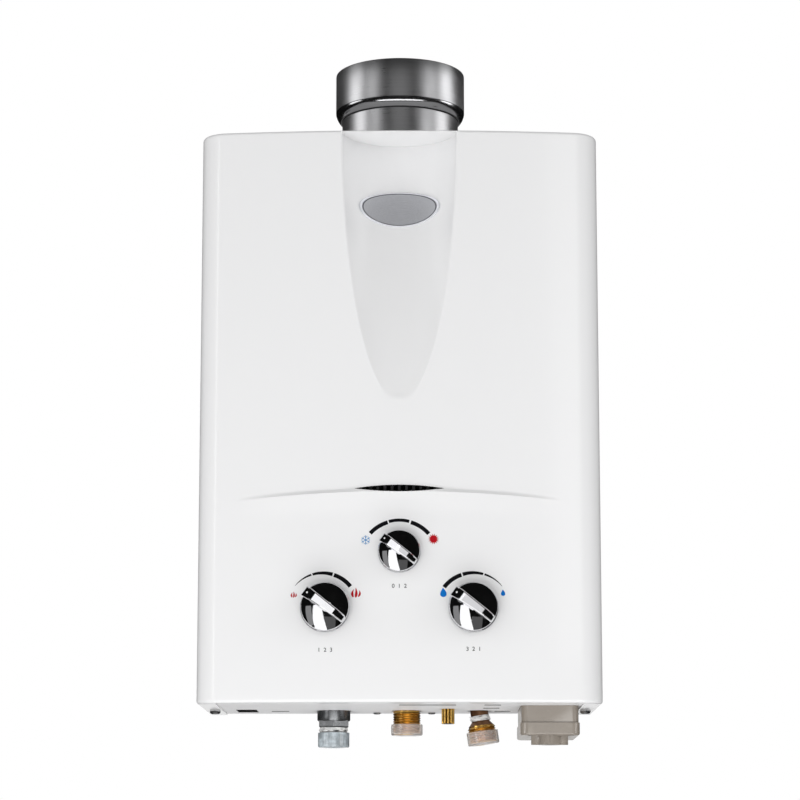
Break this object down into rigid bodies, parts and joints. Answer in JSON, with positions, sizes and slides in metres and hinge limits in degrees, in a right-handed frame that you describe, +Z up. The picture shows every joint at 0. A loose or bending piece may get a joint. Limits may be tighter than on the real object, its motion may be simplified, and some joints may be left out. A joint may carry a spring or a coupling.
{
  "type": "propane water heater",
  "caption": "Wall-hung propane water heater: white bowed cabinet with a scooped front, round steel flue collar, chrome knobs, threaded gas and water ports and a battery case below.",
  "frame": {"origin": "centre of the four wall-screw holes, on the back of the back plate", "axes": "+X to the right seen from the front, +Y into the wall, +Z up along the flue"},
  "size_m": [0.295, 0.1676, 0.5212],
  "materials": {
    "white_enamel": "smooth glossy stove enamel",
    "galvanised": "plain zinc-coated sheet",
    "flue_steel": "satin drawn steel",
    "screw_steel": "zinc plated",
    "badge": "fine brushed with a polished rim",
    "black_plastic": "black moulded plastic",
    "chrome": "bright chrome on zinc casting",
    "brass": "turned brass",
    "bronze": "dark bronze casting",
    "gas_casting": "dark grey pressure casting",
    "cast_aluminium": "as-cast aluminium",
    "copper": "bare copper",
    "ptfe_tape": "white thread tape",
    "grey_cap": "grey moulded cap",
    "clear_cap": "clear moulded cap",
    "taupe_plastic": "taupe moulded plastic",
    "rubber": "nitrile rubber",
    "cell_jacket": "printed film, left plain",
    "ceramic_white": "glazed ceramic"
  },
  "bodies": {
    "root": {"front_cover": "white_enamel", "back_plate": "galvanised", "top_plate": "white_enamel", "bottom_plate": "white_enamel", "cover_screws": "screw_steel", "plate_screws": "screw_steel", "badge_plate": "badge", "sight_grille": "black_plastic", "flue_neck": "flue_steel", "flue_collar": "flue_steel", "draft_hood": "galvanised", "heat_exchanger_jacket": "copper", "heat_exchanger_fins": "copper", "heat_exchanger_tube": "copper", "combustion_chamber": "copper", "burner_tray": "galvanised", "burner_bars": "galvanised", "gas_manifold": "cast_aluminium", "spark_electrode": "ceramic_white", "flame_sensor": "ceramic_white", "stack_brackets": "galvanised", "gas_valve_body": "cast_aluminium", "gas_solenoid": "black_plastic", "season_valve_body": "cast_aluminium", "gas_link_pipe": "cast_aluminium", "gas_inlet_fitting": "gas_casting", "gas_seal_tape": "ptfe_tape", "hot_outlet_fitting": "brass", "cold_inlet_fitting": "bronze", "cold_seal_tape": "ptfe_tape", "water_valve_body": "brass", "diaphragm": "rubber", "diaphragm_cover": "brass", "diaphragm_screws": "screw_steel", "micro_switch": "black_plastic", "cold_water_pipe": "copper", "hot_water_pipe": "copper", "igniter_box": "black_plastic", "overheat_switch": "ceramic_white", "battery_case": "taupe_plastic", "lid_hinge_pin": "screw_steel", "battery_cells": "cell_jacket", "battery_contacts": "screw_steel"},
    "flame_control": {"knob_flame": "chrome", "spindle_flame": "brass"},
    "season_control": {"knob_season": "chrome", "spindle_season": "brass"},
    "water_control": {"knob_water": "chrome", "spindle_water": "brass"},
    "gas_cap": {"gas_inlet_cap": "grey_cap"},
    "hot_cap": {"hot_outlet_cap": "clear_cap"},
    "cold_cap": {"cold_inlet_cap": "clear_cap"},
    "drain_stem_body": {"drain_stem": "brass"},
    "drain_head": {"drain_knob": "brass"},
    "lid": {"battery_lid": "taupe_plastic", "lid_contact": "screw_steel"},
    "rod": {"push_rod": "brass"},
    "plunger": {"switch_plunger": "black_plastic"}
  },
  "joints": [
    {"name": "flame_turn", "type": "hinge", "parent": "root", "child": "flame_control", "pos_m": [-0.05339, -0.1466, -0.144], "axis": [0, 1, 0], "range_deg": [0, 108]},
    {"name": "season_turn", "type": "hinge", "parent": "root", "child": "season_control", "pos_m": [0, -0.1466, -0.1035], "axis": [0, 1, 0], "range_deg": [0, 108]},
    {"name": "water_turn", "type": "hinge", "parent": "root", "child": "water_control", "pos_m": [0.05339, -0.1466, -0.144], "axis": [0, 1, 0], "range_deg": [0, 108]},
    {"name": "gas_cap_pull", "type": "slide", "parent": "root", "child": "gas_cap", "axis": [0, 0, -1], "range_m": [0, 0.04]},
    {"name": "hot_cap_pull", "type": "slide", "parent": "root", "child": "hot_cap", "axis": [0, 0, -1], "range_m": [0, 0.04]},
    {"name": "cold_cap_pull", "type": "slide", "parent": "root", "child": "cold_cap", "axis": [0.1392, 0, -0.9903], "range_m": [0, 0.04]},
    {"name": "drain_travel", "type": "slide", "parent": "root", "child": "drain_stem_body", "axis": [0, 0, -1], "range_m": [0, 0.002]},
    {"name": "drain_turn", "type": "hinge", "parent": "drain_stem_body", "child": "drain_head", "pos_m": [0.03599, -0.054, -0.215], "axis": [0, 0, -1], "range_deg": [0, 725]},
    {"name": "battery_lid_swing", "type": "hinge", "parent": "root", "child": "lid", "pos_m": [0.1105, -0.0155, -0.2245], "axis": [1, 0, 0], "range_deg": [0, 85]},
    {"name": "rod_push", "type": "slide", "parent": "root", "child": "rod", "axis": [-1, 0, 0], "range_m": [0, 0.003], "stiffness_N_per_m": 400},
    {"name": "switch_press", "type": "slide", "parent": "root", "child": "plunger", "axis": [-1, 0, 0], "range_m": [0, 0.0029]}
  ],
  "couplings": [
    {"joint": "drain_turn", "follows": "drain_travel", "rad_per_m": 6283.2},
    {"joint": "switch_press", "follows": "rod_push", "ratio": 0.95}
  ]
}
